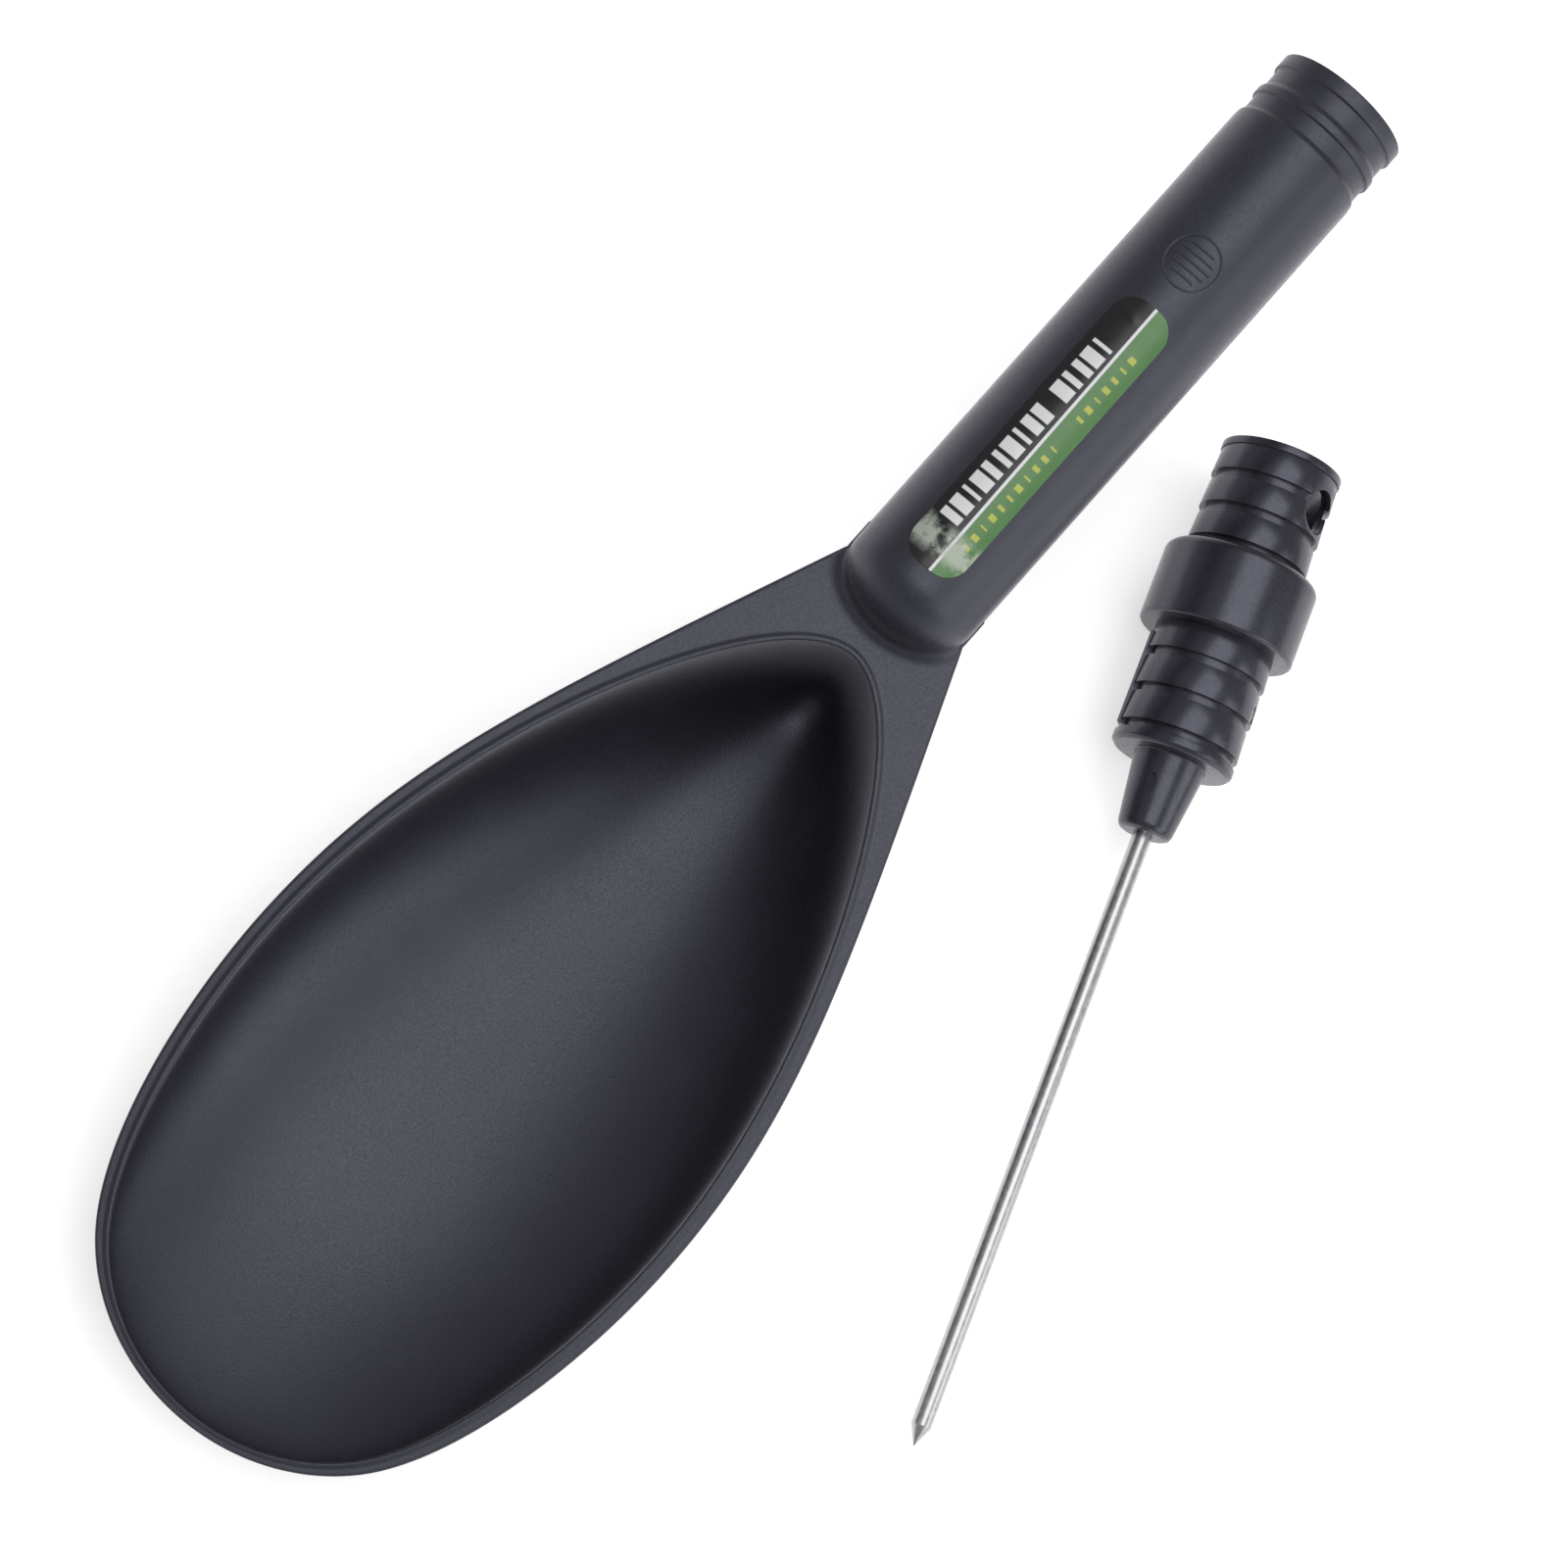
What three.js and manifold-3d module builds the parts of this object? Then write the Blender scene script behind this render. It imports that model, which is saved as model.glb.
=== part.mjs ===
// Beach sand scoop: a moulded teardrop scoop with a hollow handle, and the spiked plug that pushes
// into the handle's bore. The scoop rests on its keel and the plug lies on the ground beside it.
// Millimetres, +Z up, +X from the scoop's tip towards its handle. The origin is under the middle
// of the whole set, on the ground.
import * as THREE from "three";
import { mergeVertices } from "three/addons/utils/BufferGeometryUtils.js";
import Module from "manifold-3d";

const wasm = await Module();
wasm.setup();

// ---- Handle: sizes along its own axis from the deck's end
const handleRadius = 17.1;
const handleWall = 1.8;
const boreRadius = handleRadius - handleWall;
const handleLength = 148.8;
const handlePitch = 3; // degrees, further up than the rim plane
const noseLength = 13; // rounded end that runs down on to the deck
const boreFloor = 2.2; // where the blind bore stops, along the handle
const boreFloorRound = 4;
const endRing = 3.7;
const endGroove = 4.5;
const secondRing = 3.2;
const secondGroove = 4.1;
const ringDepth = 0.7;
const ringLeadIn = 0.8; // slope down into each groove

// ---- Scoop: sizes along the rim plane from the tip (u), across it (v) and below it (depth)
const rimWidest = { u: 95.3, v: 60 }; // where the rim is widest, and half its width there
const tipShoulder = { u: 16.4, v: 38.7 }; // where the round tip turns into the long side
const tipShoulderAngle = 42.6; // degrees from the scoop's axis
const deckEnd = { u: 246.5, v: handleRadius - 0.7 }; // corner where the shoulder deck meets the handle
const deckEdgeAngle = 21.8; // degrees, how fast the two deck edges close in
const deckLength = 21.2; // from the end of the opening to the handle
const openingApexU = deckEnd.u - deckLength;
const openingApexRound = 21.7; // fullness of the opening's rounded end
// How far each curve of the outline pulls straight on from where it starts or ends
const pull = {
  acrossTip: 13.9,
  beforeShoulder: 15,
  afterShoulder: 21.7,
  beforeWidest: 26.9,
  rimAfterWidest: 44.2,
  openingAfterWidest: 58,
  deckEdge: 83,
};
const wall = 2.3;
const flangeThickness = 3;
const flangeTip = wall + 0.1; // width of the rim flange at the tip
const flangeSide = wall + 1.6; // and at the widest place
const rimPitch = 9.5; // degrees that the rim rises towards the handle when the keel lies flat
const tipHeight = 18.3; // rim above the ground at the tip
const rampLength = 64; // front ramp, from the lip down to the keel
const rampFullness = 0.72; // lower is fuller
const backWallLength = 28; // rounded foot of the steep back wall
const backWallSquareness = 4.5; // 2 is an ellipse, more is squarer
const sectionPower = 2.2; // how a cross-section starts to rise away from the keel
const sectionFullness = { tip: 0.8, keel: 0.47 }; // lower is squarer at the sides
const keelFlat = 0.35; // taken off the keel to give it a narrow flat to rest on
const gussetThickness = 2;
const gussetLength = 26;
const gussetProud = 0.4; // how far each gusset stands out past the handle's flank
const gussetLap = 2; // overlap with the back wall
const gussetDrop = 8; // reach down the back wall, past the handle's radius
const gussetWaist = 0.6; // height at the deck's end, as a share of the handle's radius
const gussetTop = 1; // below the rim plane, inside the deck

// ---- Label on the handle
const labelLength = 78;
const labelWidth = 15.4;
const labelFromEnd = 68;
const labelTurn = 3.5; // degrees round the handle to the left of its top
const labelThickness = 0.15;
const labelCorner = 6;

// ---- Plug: sizes along its axis from the collar's lower face, positive towards its open end
const plugClearance = 0.2; // between a spigot and the handle's bore
const spigotRadius = boreRadius - plugClearance;
const collarLength = 20.4;
const collarStand = 2.1; // how far the collar stands out past the handle's outside
const collarRadius = handleRadius + collarStand;
const collarRound = 2.2;
const upperSpigot = 28;
const lowerSpigot = 31.1;
const ribDepth = 1.3;
const ribGroove = 2.1;
const ribPitch = 8.2;
const ribTaper = 0.35; // each rib is this much smaller in radius at its leading end
const topLip = 1.9;
const plainBand = 3; // below the last groove
const bandChamfer = 1;
const collarChamfer = 0.6;
const plugWall = 1.4; // under the grooves
const hollowFloor = 3.4; // thickness between the hollow and the nose
const hollowRound = 3;
const noseRootRadius = 9;
const noseTipRadius = 6.8;
const plugNose = 18.9;
const noseRound = 1.6;
const sideHoleRadius = 5.5;
const sideHoleFromRim = 11;
const sideHoleTurn = 48; // degrees round the plug from its top

// ---- Probe rod
const rodRadius = 2.4;
const rodExposed = 153.7; // from the nose to the tip of the point
const rodPoint = 5; // length of the ground point
const rodBuried = 17; // held inside the nose

// ---- How the plug lies on the ground beside the scoop
const plugYaw = 19.8; // degrees between the plug and the scoop, seen from above
const plugPlace = { x: 297.6, y: -62 }; // the collar's lower face, from the scoop's tip

const fitGap = 0.3; // between solids that touch
const cutMargin = 5; // how far a cutting solid runs past what it cuts
const roundSteps = 32; // facets round the handle and the plug
const holeSteps = 16;
const hullStations = 34; // cross-sections along the bowl
const hullAcross = 20; // facets across each
const rimSteps = 44; // straight edges along each side of the rim

const degrees = THREE.MathUtils.degToRad;

// ---- Solids
function solidOf(geometry, matrix) {
  const bare = geometry.index ? geometry.toNonIndexed() : geometry.clone();
  bare.deleteAttribute("normal");
  bare.deleteAttribute("uv");
  if (matrix) bare.applyMatrix4(matrix);
  const merged = mergeVertices(bare, 1e-4);
  return new wasm.Manifold(
    new wasm.Mesh({
      numProp: 3,
      vertProperties: new Float32Array(merged.attributes.position.array),
      triVerts: new Uint32Array(merged.index.array),
    }),
  );
}

function meshOf(name, solid, material) {
  const made = solid.getMesh();
  const geometry = new THREE.BufferGeometry();
  geometry.setAttribute("position", new THREE.BufferAttribute(made.vertProperties, 3));
  geometry.setIndex(new THREE.BufferAttribute(made.triVerts, 1));
  geometry.computeVertexNormals();
  const mesh = new THREE.Mesh(geometry, material);
  mesh.name = name;
  return mesh;
}

// A closed skin through a row of loops with equal numbers of points, capped at both ends.
function skinOf(loops) {
  const across = loops[0].length;
  const positions = loops.flat().flatMap((p) => [p.x, p.y, p.z]);
  const index = [];
  for (let i = 0; i + 1 < loops.length; i++) {
    for (let j = 0; j < across; j++) {
      const a = i * across + j;
      const b = i * across + ((j + 1) % across);
      index.push(a, a + across, b, b, a + across, b + across);
    }
  }
  const last = (loops.length - 1) * across;
  for (let j = 1; j + 1 < across; j++) {
    index.push(0, j, j + 1);
    index.push(last, last + j + 1, last + j);
  }
  const geometry = new THREE.BufferGeometry();
  geometry.setAttribute("position", new THREE.Float32BufferAttribute(positions, 3));
  geometry.setIndex(index);
  return geometry;
}

// A turned solid whose axis is +X, from a profile of [distance along, radius] points.
function turned(profile, steps = roundSteps) {
  const points = profile.map(([along, radius]) => new THREE.Vector2(radius, along));
  return new THREE.LatheGeometry(points, steps).rotateZ(-Math.PI / 2);
}

function arcPoints(centre, size, from, to, steps) {
  const points = [];
  for (let i = 0; i <= steps; i++) {
    const angle = degrees(from + ((to - from) * i) / steps);
    points.push([centre[0] + size[0] * Math.cos(angle), centre[1] + size[1] * Math.sin(angle)]);
  }
  return points;
}

// ---- Outlines in the rim plane, one side of each, from the tip towards the handle
function curveThrough(...corners) {
  const path = new THREE.CurvePath();
  for (let i = 0; i + 3 < corners.length; i += 3) {
    const part = corners.slice(i, i + 4).map(([u, v]) => new THREE.Vector2(u, v));
    path.add(new THREE.CubicBezierCurve(...part));
  }
  return path;
}

// The side of the scoop from its tip to its widest place, moved in by the given widths.
function frontSide(insetTip, insetSide) {
  const cos = Math.cos(degrees(tipShoulderAngle));
  const sin = Math.sin(degrees(tipShoulderAngle));
  const corners = [
    [0, 0],
    [0, pull.acrossTip],
    [tipShoulder.u - pull.beforeShoulder * cos, tipShoulder.v - pull.beforeShoulder * sin],
    [tipShoulder.u, tipShoulder.v],
    [tipShoulder.u + pull.afterShoulder * cos, tipShoulder.v + pull.afterShoulder * sin],
    [rimWidest.u - pull.beforeWidest, rimWidest.v],
    [rimWidest.u, rimWidest.v],
  ];
  const scaleU = (rimWidest.u - insetTip) / rimWidest.u;
  const scaleV = (rimWidest.v - insetSide) / rimWidest.v;
  return corners.map(([u, v]) => [insetTip + u * scaleU, v * scaleV]);
}

function rimSide() {
  const turn = degrees(deckEdgeAngle);
  return curveThrough(
    ...frontSide(0, 0),
    [rimWidest.u + pull.rimAfterWidest, rimWidest.v],
    [deckEnd.u - pull.deckEdge * Math.cos(turn), deckEnd.v + pull.deckEdge * Math.sin(turn)],
    [deckEnd.u, deckEnd.v],
  );
}

// The opening's side, or the outside of the wall below the flange when grown by its thickness.
function hullSide(grow) {
  const widest = rimWidest.v - flangeSide + grow;
  const apex = openingApexU + grow;
  return curveThrough(
    ...frontSide(flangeTip - grow, flangeSide - grow),
    [rimWidest.u + pull.openingAfterWidest, widest],
    [apex, openingApexRound + grow],
    [apex, 0],
  );
}

// ---- The bowl's hull: how deep it is at u, and how each cross-section is rounded
function hullDepth(u, grow) {
  const tip = flangeTip - grow;
  const apex = openingApexU + grow;
  const keel = tipHeight - wall + grow + u * Math.tan(degrees(rimPitch));
  const front = THREE.MathUtils.clamp((u - tip) / rampLength, 0, 1);
  const ramp = (1 - (1 - front) ** 2) ** rampFullness;
  const back = THREE.MathUtils.clamp((u - apex + backWallLength) / backWallLength, 0, 1);
  const wallRise = (1 - back ** backWallSquareness) ** (1 / backWallSquareness);
  return keel * ramp * wallRise;
}

function sectionShape(x, u) {
  const front = THREE.MathUtils.clamp(u / rampLength, 0, 1);
  const edge = THREE.MathUtils.lerp(sectionFullness.tip, sectionFullness.keel, front);
  return (1 - Math.abs(x) ** sectionPower) ** edge;
}

function hullSolid(grow, lid) {
  const side = hullSide(grow);
  const loops = [];
  for (let i = 0; i < hullStations; i++) {
    const share = (1 - Math.cos((Math.PI * (i + 0.5)) / hullStations)) / 2;
    const { x: u, y: v } = side.getPointAt(share);
    const depth = hullDepth(u, grow);
    const loop = [new THREE.Vector3(u, v, lid)];
    for (let j = 0; j <= hullAcross; j++) {
      const x = Math.cos((Math.PI * j) / hullAcross);
      loop.push(new THREE.Vector3(u, v * x, -depth * sectionShape(x, u)));
    }
    loop.push(new THREE.Vector3(u, -v, lid));
    loops.push(loop);
  }
  return solidOf(skinOf(loops));
}

function flangePlate() {
  const side = rimSide().getSpacedPoints(rimSteps);
  const overlap = deckEnd.u + cutMargin; // runs on inside the handle, which is cut out of it
  const half = [...side, new THREE.Vector2(overlap, deckEnd.v)];
  const mirrored = half.slice(1).reverse().map((p) => new THREE.Vector2(p.x, -p.y));
  const outline = new THREE.Shape([...half, ...mirrored]);
  const plate = new THREE.ExtrudeGeometry(outline, { depth: flangeThickness, bevelEnabled: false });
  return solidOf(plate.translate(0, 0, -flangeThickness));
}

// Two side webs under the deck, from the back wall to the handle's flanks.
function gussets() {
  const start = openingApexU + wall - gussetLap;
  const end = start + gussetLength;
  const middle = handleRadius + gussetProud - gussetThickness / 2;
  const web = new THREE.Shape([
    new THREE.Vector2(start, -gussetTop),
    new THREE.Vector2(start, -handleRadius - gussetDrop),
    new THREE.Vector2(deckEnd.u, -handleRadius * gussetWaist),
    new THREE.Vector2(end, -flangeThickness),
    new THREE.Vector2(end, -gussetTop),
  ]);
  const flat = new THREE.ExtrudeGeometry(web, { depth: gussetThickness, bevelEnabled: false });
  flat.rotateX(Math.PI / 2).translate(0, gussetThickness / 2, 0);
  const left = solidOf(flat.clone().translate(0, middle, 0));
  const right = solidOf(flat.clone().translate(0, -middle, 0));
  return left.add(right);
}

// ---- The handle's outside, and the room that the deck leaves for it
function handleProfile(grow) {
  return [
    ...arcPoints([0, 0], [-noseLength - grow, handleRadius + grow], 0, 90, 8),
    [handleLength + grow, handleRadius + grow],
    [handleLength + grow, 0],
  ];
}

function handleSolid() {
  const low = handleRadius - ringDepth;
  const end = handleLength;
  const ringsFrom = end - endRing - endGroove - secondRing - secondGroove;
  const outside = [
    ...arcPoints([0, 0], [-noseLength, handleRadius], 0, 90, 8),
    [ringsFrom - ringLeadIn, handleRadius],
    [ringsFrom, low],
    [ringsFrom + secondGroove, low],
    [ringsFrom + secondGroove, handleRadius],
    [end - endRing - endGroove - ringLeadIn, handleRadius],
    [end - endRing - endGroove, low],
    [end - endRing, low],
    [end - endRing, handleRadius],
    [end, handleRadius],
  ];
  const foot = boreFloorRound;
  const bore = [
    [end, boreRadius],
    ...arcPoints([boreFloor + foot, boreRadius - foot], [-foot, foot], 90, 0, 3),
    [boreFloor, 0],
  ];
  return solidOf(turned([...outside, ...bore]));
}

// A thin vinyl label wrapped on the handle, cut to a long shape with round corners.
function labelSolid() {
  const inner = handleRadius + fitGap / 2;
  const outer = inner + labelThickness;
  const from = handleLength - labelFromEnd - labelLength;
  const to = handleLength - labelFromEnd;
  const sleeve = turned([
    [from - cutMargin, inner],
    [from - cutMargin, outer],
    [to + cutMargin, outer],
    [to + cutMargin, inner],
    [from - cutMargin, inner],
  ]);
  const half = outer * Math.sin(labelWidth / 2 / outer);
  const outline = new THREE.Shape();
  outline.absarc(to - labelCorner, half - labelCorner, labelCorner, 0, Math.PI / 2);
  outline.absarc(from + labelCorner, half - labelCorner, labelCorner, Math.PI / 2, Math.PI);
  outline.absarc(from + labelCorner, labelCorner - half, labelCorner, Math.PI, 1.5 * Math.PI);
  outline.absarc(to - labelCorner, labelCorner - half, labelCorner, 1.5 * Math.PI, 2 * Math.PI);
  const die = new THREE.ExtrudeGeometry(outline, { depth: 2 * outer, curveSegments: 5, bevelEnabled: false });
  const turn = new THREE.Matrix4().makeRotationX(degrees(-labelTurn));
  return solidOf(sleeve, turn).intersect(solidOf(die, turn));
}

// ---- The plug's turned outside, from its nose to its open end
function ribbedSpan(from, length) {
  const points = [];
  const low = spigotRadius - ribDepth;
  const ribs = Math.round(length / ribPitch);
  const pitch = length / ribs;
  for (let i = 0; i < ribs; i++) {
    const start = from + i * pitch;
    points.push([start, low], [start + ribGroove, low]);
    points.push([start + ribGroove, spigotRadius], [start + pitch, spigotRadius - ribTaper]);
  }
  return points;
}

function plugSolid() {
  const top = collarLength + upperSpigot;
  const noseTip = -lowerSpigot - plugNose;
  const lastGroove = -lowerSpigot + plainBand;
  const round = collarRound;
  const outside = [
    [noseTip, 0],
    [noseTip, noseTipRadius - noseRound],
    [noseTip + noseRound * 0.3, noseTipRadius - noseRound * 0.3],
    [noseTip + noseRound, noseTipRadius],
    [-lowerSpigot, noseRootRadius],
    [-lowerSpigot, spigotRadius - bandChamfer],
    [-lowerSpigot + bandChamfer, spigotRadius],
    [lastGroove, spigotRadius],
    ...ribbedSpan(lastGroove, -lastGroove),
    [0, collarRadius - collarChamfer],
    [collarChamfer, collarRadius],
    ...arcPoints([collarLength - round, collarRadius - round], [round, round], 90, 0, 4),
    ...ribbedSpan(collarLength, upperSpigot - topLip),
    [top - topLip, spigotRadius],
    [top, spigotRadius],
  ];
  const hollowRadius = spigotRadius - ribDepth - plugWall;
  const floor = -lowerSpigot + hollowFloor;
  const hollow = [
    [top, hollowRadius],
    [floor + hollowRound, hollowRadius],
    [floor, hollowRadius - hollowRound],
    [floor, 0],
  ];
  const body = solidOf(turned([...outside, ...hollow]));
  const holeTurn = degrees(sideHoleTurn);
  const drill = new THREE.CylinderGeometry(sideHoleRadius, sideHoleRadius, 2 * spigotRadius, holeSteps);
  drill.translate(0, spigotRadius + 2, 0).rotateX(Math.PI / 2 + holeTurn);
  drill.translate(top - sideHoleFromRim, 0, 0);
  const socketStart = noseTip - cutMargin;
  const socketEnd = noseTip + rodBuried + fitGap;
  const socket = turned([
    [socketStart, 0],
    [socketStart, rodRadius + fitGap],
    [socketEnd, rodRadius + fitGap],
    [socketEnd, 0],
  ], holeSteps);
  return body.subtract(solidOf(drill)).subtract(solidOf(socket));
}

function rodSolid() {
  const noseTip = -lowerSpigot - plugNose;
  const tip = noseTip - rodExposed;
  return solidOf(turned([
    [tip, 0],
    [tip + rodPoint, rodRadius],
    [noseTip + rodBuried, rodRadius],
    [noseTip + rodBuried, 0],
  ], holeSteps));
}

// ---- Finishes
const moulded = new THREE.MeshStandardMaterial({ color: 0x2b2c31, roughness: 0.62, metalness: 0 });
const grip = moulded.clone();
const printed = new THREE.MeshStandardMaterial({ color: 0x3f6b3c, roughness: 0.35, metalness: 0 });
const glossy = new THREE.MeshStandardMaterial({ color: 0x0c0c0f, roughness: 0.22, metalness: 0 });
const steel = new THREE.MeshStandardMaterial({ color: 0xc9cbce, roughness: 0.22, metalness: 1 });

// ---- Assembly
const scoop = new THREE.Group();
scoop.rotation.y = -degrees(rimPitch);
scoop.position.z = tipHeight * Math.cos(degrees(rimPitch)) - keelFlat;

const handle = new THREE.Group();
handle.rotation.y = -degrees(handlePitch);
handle.position.x = deckEnd.u;
scoop.add(handle);
scoop.updateMatrixWorld(true);

const shell = flangePlate().add(hullSolid(wall, -flangeThickness / 3)).add(gussets());
const hollowed = shell.subtract(hullSolid(0, cutMargin));
const handleRoom = solidOf(turned(handleProfile(fitGap)), handle.matrix);
const groundDepth = 100;
const groundBlock = new THREE.BoxGeometry(3 * deckEnd.u, 3 * rimWidest.v, groundDepth);
const below = groundBlock.translate(deckEnd.u, 0, -groundDepth / 2);
const ground = solidOf(below, scoop.matrix.clone().invert());
const bowlSolid = hollowed.subtract(handleRoom).subtract(ground);
scoop.add(meshOf("scoop_bowl", bowlSolid, moulded));
handle.add(meshOf("scoop_handle", handleSolid(), grip));
handle.add(meshOf("handle_label", labelSolid(), printed));

// The plug rests on its collar's lower edge and on the rod, just behind the point.
const restSpan = lowerSpigot + plugNose + rodExposed - rodPoint;
const plugPitch = Math.atan2(collarRadius - rodRadius, restSpan);
const plug = new THREE.Group();
plug.rotation.set(0, -plugPitch, degrees(plugYaw), "ZYX");
plug.position.set(plugPlace.x, plugPlace.y, collarRadius * Math.cos(plugPitch));
plug.add(meshOf("plug_moulding", plugSolid(), glossy));
plug.add(meshOf("probe_rod", rodSolid(), steel));

const set = new THREE.Group();
set.add(scoop, plug);
const box = new THREE.Box3().setFromObject(set, true);
set.position.set(-(box.min.x + box.max.x) / 2, -(box.min.y + box.max.y) / 2, -box.min.z);

export default set;
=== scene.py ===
import math

import bmesh
import bpy
import numpy as np
from mathutils import Matrix, Vector


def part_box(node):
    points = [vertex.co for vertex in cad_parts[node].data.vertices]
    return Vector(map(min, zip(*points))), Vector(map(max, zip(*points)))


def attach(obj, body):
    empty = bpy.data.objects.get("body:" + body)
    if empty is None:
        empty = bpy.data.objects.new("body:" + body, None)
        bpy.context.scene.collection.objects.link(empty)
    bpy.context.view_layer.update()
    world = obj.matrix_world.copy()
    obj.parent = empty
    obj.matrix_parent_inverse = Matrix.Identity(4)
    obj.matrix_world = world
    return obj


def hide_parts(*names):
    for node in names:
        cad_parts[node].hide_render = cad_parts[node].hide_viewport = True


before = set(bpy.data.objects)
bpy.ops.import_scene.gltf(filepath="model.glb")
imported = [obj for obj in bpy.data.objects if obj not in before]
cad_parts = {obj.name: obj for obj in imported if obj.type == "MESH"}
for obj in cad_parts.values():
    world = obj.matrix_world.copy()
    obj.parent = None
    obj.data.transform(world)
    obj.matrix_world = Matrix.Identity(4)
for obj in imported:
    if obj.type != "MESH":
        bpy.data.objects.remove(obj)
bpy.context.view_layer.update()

# ---------------------------------------------------------------------------------------------
# The scoop: one moulding in matt charcoal plastic, a teardrop bowl with a flat rim flange that
# widens into a shoulder deck and runs on into a hollow handle. The tool is spark eroded, which
# leaves a fine even grain; a small bead runs round the opening where the core leaves it.
# Places are (u, v, w): along the rim plane from the tip, across it and above it, in millimetres.
MM = 0.001
rim_pitch = math.radians(9.5)
handle_pitch = math.radians(3)
tip_height = 18.3
keel_flat = 0.35
rim_widest = (95.3, 60.0)
tip_shoulder = (16.4, 38.7)
tip_shoulder_angle = math.radians(42.6)
deck_end = (246.5, 16.4)
deck_edge_angle = math.radians(21.8)
opening_apex = 225.3
pull_across_tip, pull_before_shoulder, pull_after_shoulder = 13.9, 15, 21.7
pull_before_widest, pull_rim, pull_opening, pull_deck = 26.9, 44.2, 58, 83
opening_round = 21.7
wall = 2.3
tip_fullness, back_fullness = 0.8, 0.47
section_power = 2.2
ramp_fullness = 0.72
flange_thickness = 3.0
flange_tip = wall + 0.1
flange_side = wall + 1.6
ramp_length = 64.0
back_wall_length = 28.0
back_wall_squareness = 4.5
handle_radius = 17.1
handle_length = 148.8
nose_length = 13.0
neck_fillet = 5.0
bore_radius = 15.3
bore_floor = 2.2

bowl_low, bowl_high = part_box("scoop_bowl")
tip_place = Vector((bowl_low.x, (bowl_low.y + bowl_high.y) / 2, 0))
rim_height = (tip_height * math.cos(rim_pitch) - keel_flat) * MM
scoop_place = (
    Matrix.Translation(tip_place + Vector((0, 0, rim_height)))
    @ Matrix.Rotation(-rim_pitch, 4, "Y")
    @ Matrix.Scale(MM, 4)
)
handle_place = scoop_place @ Matrix.Translation((deck_end[0], 0, 0)) @ Matrix.Rotation(-handle_pitch, 4, "Y")


def piece(name, verts, faces, place, smooth_angle=35):
    """A mesh object at the origin, with its shape put in place and its faces pointing out."""
    mesh = bpy.data.meshes.new(name)
    mesh.from_pydata([tuple(v) for v in verts], [], [tuple(int(i) for i in f) for f in faces])
    mesh.transform(place)
    bm = bmesh.new()
    bm.from_mesh(mesh)
    bmesh.ops.remove_doubles(bm, verts=bm.verts, dist=1e-7)
    bmesh.ops.recalc_face_normals(bm, faces=bm.faces)
    if bm.calc_volume(signed=True) < 0:
        bmesh.ops.reverse_faces(bm, faces=bm.faces)
    bm.to_mesh(mesh)
    bm.free()
    mesh.shade_smooth()
    mesh.set_sharp_from_angle(angle=math.radians(smooth_angle))
    made = bpy.data.objects.new(name, mesh)
    bpy.context.scene.collection.objects.link(made)
    return made


def joined(name, parts):
    """One object from several, each a closed skin of its own."""
    bpy.ops.object.select_all(action="DESELECT")
    for part in parts:
        part.select_set(True)
    bpy.context.view_layer.objects.active = parts[0]
    bpy.ops.object.join()
    parts[0].name = parts[0].data.name = name
    return parts[0]


def smooth_path(corners, steps=200):
    """Points along a chain of cubic curves: every third corner is on the path."""
    t = np.linspace(0, 1, steps)[:, None]
    runs = []
    for i in range(0, len(corners) - 1, 3):
        a, b, c, d = (np.array(corners[i + k], float) for k in range(4))
        runs.append((1 - t) ** 3 * a + 3 * (1 - t) ** 2 * t * b + 3 * (1 - t) * t**2 * c + t**3 * d)
    return np.vstack([runs[0]] + [r[1:] for r in runs[1:]])


def front_side(inset_tip, inset_side):
    along = np.array([math.cos(tip_shoulder_angle), math.sin(tip_shoulder_angle)])
    corners = [
        (0, 0),
        (0, pull_across_tip),
        tip_shoulder - pull_before_shoulder * along,
        tip_shoulder,
        tip_shoulder + pull_after_shoulder * along,
        (rim_widest[0] - pull_before_widest, rim_widest[1]),
        rim_widest,
    ]
    scale_u = (rim_widest[0] - inset_tip) / rim_widest[0]
    scale_v = (rim_widest[1] - inset_side) / rim_widest[1]
    return [(inset_tip + u * scale_u, v * scale_v) for u, v in corners]


def hull_side(grow):
    """The opening's side, or the outside of the wall when grown by its thickness."""
    widest = rim_widest[1] - flange_side + grow
    apex = opening_apex + grow
    back = [(rim_widest[0] + pull_opening, widest), (apex, opening_round + grow), (apex, 0)]
    return smooth_path(front_side(flange_tip - grow, flange_side - grow) + back)


def rim_side():
    along = np.array([math.cos(deck_edge_angle), -math.sin(deck_edge_angle)])
    back = [(rim_widest[0] + pull_rim, rim_widest[1]), deck_end - pull_deck * along, deck_end]
    return smooth_path(front_side(0, 0) + back)


def bowl_height(u, v, grow):
    """The bowl's surface below the rim plane: its inside, or its outside when grown."""
    side = hull_side(grow)
    half = np.maximum(np.interp(u, side[:, 0], side[:, 1]), 1e-6)
    tip = flange_tip - grow
    keel = tip_height - wall + grow + u * math.tan(rim_pitch)
    front = np.clip((u - tip) / ramp_length, 0, 1)
    ramp = (1 - (1 - front) ** 2) ** ramp_fullness
    back = np.clip((u - opening_apex - grow + back_wall_length) / back_wall_length, 0, 1)
    rise = (1 - back**back_wall_squareness) ** (1 / back_wall_squareness)
    across = np.clip(np.abs(v) / half, 0, 1)
    fullness = tip_fullness + (back_fullness - tip_fullness) * np.clip(u / ramp_length, 0, 1)
    return -keel * ramp * rise * (1 - across**section_power) ** fullness


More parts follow.
